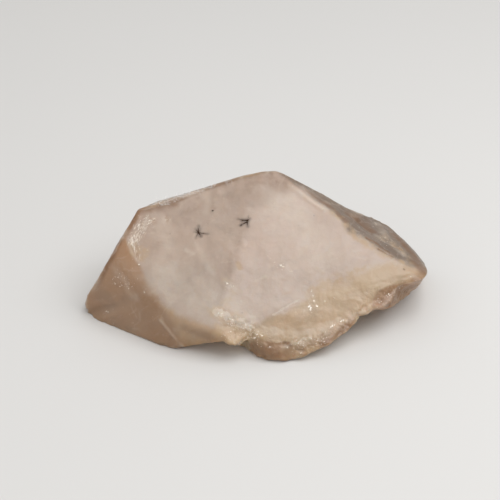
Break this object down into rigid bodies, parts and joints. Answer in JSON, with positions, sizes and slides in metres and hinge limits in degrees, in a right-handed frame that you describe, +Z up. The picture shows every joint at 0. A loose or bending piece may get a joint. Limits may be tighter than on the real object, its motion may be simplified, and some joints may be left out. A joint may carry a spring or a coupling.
{
  "type": "star quartz crystal",
  "caption": "Natural milky quartz crystal lying on its flat side, two broad growth faces meeting on a soft ridge, broken lower front, dark star inclusions just under the surface.",
  "frame": {"origin": "centre of the bounding box, on the level face the crystal rests on", "axes": "+X along the crystal's length, from the flat left end to the narrow right end; +Z up; -Y towards the viewer of the broad faces"},
  "size_m": [0.0678, 0.0334, 0.0256],
  "materials": {
    "milky_quartz": "waxy, slightly see-through"
  },
  "bodies": {
    "root": {"quartz_crystal": "milky_quartz"}
  },
  "joints": []
}
